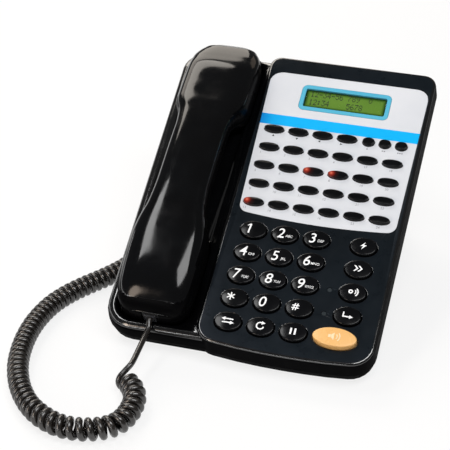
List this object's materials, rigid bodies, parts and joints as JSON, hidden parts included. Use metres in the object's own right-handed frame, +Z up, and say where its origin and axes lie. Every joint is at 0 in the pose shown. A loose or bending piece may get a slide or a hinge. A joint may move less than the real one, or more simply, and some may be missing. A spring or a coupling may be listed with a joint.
{
  "type": "corded desk telephone",
  "caption": "Black push-button desk telephone for several lines, with a display, an amber hands-free key, a lift-off handset on a side cradle and a curled handset cord",
  "frame": {"origin": "centre of the telephone's plan, on the table", "axes": "+X to the user's right, +Y away from the user towards the display, +Z up; the face slopes 24.5 degrees down to the user"},
  "size_m": [0.2195, 0.2925, 0.1168],
  "materials": {
    "housing_plastic": "polished moulded ABS, piano black",
    "key_plastic": "moulded ABS, satin gloss",
    "amber_key": "translucent amber ABS",
    "foot_rubber": "moulded rubber",
    "screw_steel": "zinc-plated steel",
    "weight_steel": "bare steel bar",
    "spring_steel": "spring wire",
    "panel_print": "printed polycarbonate sheet, pale grey with a blue band",
    "surround_plastic": "turquoise moulded ABS",
    "clear_window": "clear acrylic",
    "lcd_glass": "olive liquid-crystal cell",
    "holder_plastic": "moulded ABS",
    "circuit_board": "green solder mask on glass-epoxy board",
    "switch_plastic": "moulded nylon",
    "key_rubber": "silicone rubber",
    "lamp_red": "red diffused lens",
    "lamp_smoke": "smoked lens",
    "speaker_cone": "paper cone in a pressed frame",
    "capsule_plastic": "moulded capsule",
    "jack_plastic": "moulded nylon",
    "plug_plastic": "clear polycarbonate",
    "cord_sheath": "extruded vinyl sheath, glossy"
  },
  "bodies": {
    "base": {"upper_housing": "housing_plastic", "lower_housing": "housing_plastic", "rubber_feet": "foot_rubber", "base_screws": "screw_steel", "face_panel": "panel_print", "display_surround": "surround_plastic", "display_window": "clear_window", "display_panel": "lcd_glass", "display_holder": "holder_plastic", "main_board": "circuit_board", "line_key_mat": "key_rubber", "dial_key_mat": "key_rubber", "line_lamps": "lamp_red", "indicator_lamps": "lamp_smoke", "speaker": "speaker_cone", "hook_spring": "spring_steel", "hook_board": "circuit_board", "hook_switch": "switch_plastic", "handset_jack": "jack_plastic", "line_jack": "jack_plastic", "plug_base": "plug_plastic", "cord_coil": "cord_sheath", "cord_lead_base": "cord_sheath"},
    "handset": {"handset_back": "housing_plastic", "handset_front": "housing_plastic", "receiver": "capsule_plastic", "transmitter": "capsule_plastic", "handset_weight": "weight_steel", "handset_screws": "screw_steel", "handset_socket": "jack_plastic", "plug_handset": "plug_plastic", "cord_lead_handset": "cord_sheath"},
    "hook_plunger": {"hook_plunger": "housing_plastic"},
    "select_keys": {"select_keys": "key_plastic"},
    "option_keys": {"option_keys": "key_plastic"},
    "line_keys_row_2": {"line_keys_row_2": "key_plastic"},
    "line_keys_row_3": {"line_keys_row_3": "key_plastic"},
    "line_keys_row_4": {"line_keys_row_4": "key_plastic"},
    "line_keys_row_5": {"line_keys_row_5": "key_plastic"},
    "key_1": {"key_1": "key_plastic"},
    "key_2": {"key_2": "key_plastic"},
    "key_3": {"key_3": "key_plastic"},
    "key_4": {"key_4": "key_plastic"},
    "key_5": {"key_5": "key_plastic"},
    "key_6": {"key_6": "key_plastic"},
    "key_7": {"key_7": "key_plastic"},
    "key_8": {"key_8": "key_plastic"},
    "key_9": {"key_9": "key_plastic"},
    "key_star": {"key_star": "key_plastic"},
    "key_0": {"key_0": "key_plastic"},
    "key_hash": {"key_hash": "key_plastic"},
    "key_transfer": {"key_transfer": "key_plastic"},
    "key_redial": {"key_redial": "key_plastic"},
    "key_hold": {"key_hold": "key_plastic"},
    "key_flash": {"key_flash": "key_plastic"},
    "key_speed": {"key_speed": "key_plastic"},
    "key_intercom": {"key_intercom": "key_plastic"},
    "key_trunk": {"key_trunk": "key_plastic"},
    "key_handsfree": {"key_handsfree": "amber_key"}
  },
  "joints": [
    {"name": "select_keys_press", "type": "slide", "parent": "base", "child": "select_keys", "axis": [0, 0.4147, -0.91], "range_m": [0, 0.0012], "stiffness_N_per_m": 400, "deforming": ["line_key_mat"]},
    {"name": "option_keys_press", "type": "slide", "parent": "base", "child": "option_keys", "axis": [0, 0.4147, -0.91], "range_m": [0, 0.0012], "stiffness_N_per_m": 400, "deforming": ["line_key_mat"]},
    {"name": "line_keys_row_2_press", "type": "slide", "parent": "base", "child": "line_keys_row_2", "axis": [0, 0.4147, -0.91], "range_m": [0, 0.0012], "stiffness_N_per_m": 400, "deforming": ["line_key_mat"]},
    {"name": "line_keys_row_3_press", "type": "slide", "parent": "base", "child": "line_keys_row_3", "axis": [0, 0.4147, -0.91], "range_m": [0, 0.0012], "stiffness_N_per_m": 400, "deforming": ["line_key_mat"]},
    {"name": "line_keys_row_4_press", "type": "slide", "parent": "base", "child": "line_keys_row_4", "axis": [0, 0.4147, -0.91], "range_m": [0, 0.0012], "stiffness_N_per_m": 400, "deforming": ["line_key_mat"]},
    {"name": "line_keys_row_5_press", "type": "slide", "parent": "base", "child": "line_keys_row_5", "axis": [0, 0.4147, -0.91], "range_m": [0, 0.0012], "stiffness_N_per_m": 400, "deforming": ["line_key_mat"]},
    {"name": "key_1_press", "type": "slide", "parent": "base", "child": "key_1", "axis": [0, 0.4147, -0.91], "range_m": [0, 0.0012], "stiffness_N_per_m": 400, "deforming": ["dial_key_mat"]},
    {"name": "key_2_press", "type": "slide", "parent": "base", "child": "key_2", "axis": [0, 0.4147, -0.91], "range_m": [0, 0.0012], "stiffness_N_per_m": 400, "deforming": ["dial_key_mat"]},
    {"name": "key_3_press", "type": "slide", "parent": "base", "child": "key_3", "axis": [0, 0.4147, -0.91], "range_m": [0, 0.0012], "stiffness_N_per_m": 400, "deforming": ["dial_key_mat"]},
    {"name": "key_4_press", "type": "slide", "parent": "base", "child": "key_4", "axis": [0, 0.4147, -0.91], "range_m": [0, 0.0012], "stiffness_N_per_m": 400, "deforming": ["dial_key_mat"]},
    {"name": "key_5_press", "type": "slide", "parent": "base", "child": "key_5", "axis": [0, 0.4147, -0.91], "range_m": [0, 0.0012], "stiffness_N_per_m": 400, "deforming": ["dial_key_mat"]},
    {"name": "key_6_press", "type": "slide", "parent": "base", "child": "key_6", "axis": [0, 0.4147, -0.91], "range_m": [0, 0.0012], "stiffness_N_per_m": 400, "deforming": ["dial_key_mat"]},
    {"name": "key_7_press", "type": "slide", "parent": "base", "child": "key_7", "axis": [0, 0.4147, -0.91], "range_m": [0, 0.0012], "stiffness_N_per_m": 400, "deforming": ["dial_key_mat"]},
    {"name": "key_8_press", "type": "slide", "parent": "base", "child": "key_8", "axis": [0, 0.4147, -0.91], "range_m": [0, 0.0012], "stiffness_N_per_m": 400, "deforming": ["dial_key_mat"]},
    {"name": "key_9_press", "type": "slide", "parent": "base", "child": "key_9", "axis": [0, 0.4147, -0.91], "range_m": [0, 0.0012], "stiffness_N_per_m": 400, "deforming": ["dial_key_mat"]},
    {"name": "key_star_press", "type": "slide", "parent": "base", "child": "key_star", "axis": [0, 0.4147, -0.91], "range_m": [0, 0.0012], "stiffness_N_per_m": 400, "deforming": ["dial_key_mat"]},
    {"name": "key_0_press", "type": "slide", "parent": "base", "child": "key_0", "axis": [0, 0.4147, -0.91], "range_m": [0, 0.0012], "stiffness_N_per_m": 400, "deforming": ["dial_key_mat"]},
    {"name": "key_hash_press", "type": "slide", "parent": "base", "child": "key_hash", "axis": [0, 0.4147, -0.91], "range_m": [0, 0.0012], "stiffness_N_per_m": 400, "deforming": ["dial_key_mat"]},
    {"name": "key_transfer_press", "type": "slide", "parent": "base", "child": "key_transfer", "axis": [0, 0.4147, -0.91], "range_m": [0, 0.0012], "stiffness_N_per_m": 400, "deforming": ["dial_key_mat"]},
    {"name": "key_redial_press", "type": "slide", "parent": "base", "child": "key_redial", "axis": [0, 0.4147, -0.91], "range_m": [0, 0.0012], "stiffness_N_per_m": 400, "deforming": ["dial_key_mat"]},
    {"name": "key_hold_press", "type": "slide", "parent": "base", "child": "key_hold", "axis": [0, 0.4147, -0.91], "range_m": [0, 0.0012], "stiffness_N_per_m": 400, "deforming": ["dial_key_mat"]},
    {"name": "key_flash_press", "type": "slide", "parent": "base", "child": "key_flash", "axis": [0, 0.4147, -0.91], "range_m": [0, 0.0012], "stiffness_N_per_m": 400, "deforming": ["dial_key_mat"]},
    {"name": "key_speed_press", "type": "slide", "parent": "base", "child": "key_speed", "axis": [0, 0.4147, -0.91], "range_m": [0, 0.0012], "stiffness_N_per_m": 400, "deforming": ["dial_key_mat"]},
    {"name": "key_intercom_press", "type": "slide", "parent": "base", "child": "key_intercom", "axis": [0, 0.4147, -0.91], "range_m": [0, 0.0012], "stiffness_N_per_m": 400, "deforming": ["dial_key_mat"]},
    {"name": "key_trunk_press", "type": "slide", "parent": "base", "child": "key_trunk", "axis": [0, 0.4147, -0.91], "range_m": [0, 0.0012], "stiffness_N_per_m": 400, "deforming": ["dial_key_mat"]},
    {"name": "key_handsfree_press", "type": "slide", "parent": "base", "child": "key_handsfree", "axis": [0, 0.4147, -0.91], "range_m": [0, 0.0012], "stiffness_N_per_m": 400, "deforming": ["dial_key_mat"]},
    {"name": "handset_lift", "type": "slide", "parent": "base", "child": "handset", "axis": [0, -0.4147, 0.91], "range_m": [0, 0.12]},
    {"name": "hook_rise", "type": "slide", "parent": "base", "child": "hook_plunger", "axis": [0, -0.4147, 0.91], "range_m": [0, 0.0055], "stiffness_N_per_m": 60, "springref_m": 0.0055, "deforming": ["hook_spring"]}
  ],
  "couplings": [
    {"joint": "hook_rise", "follows": "handset_lift", "ratio": 0.04583}
  ]
}
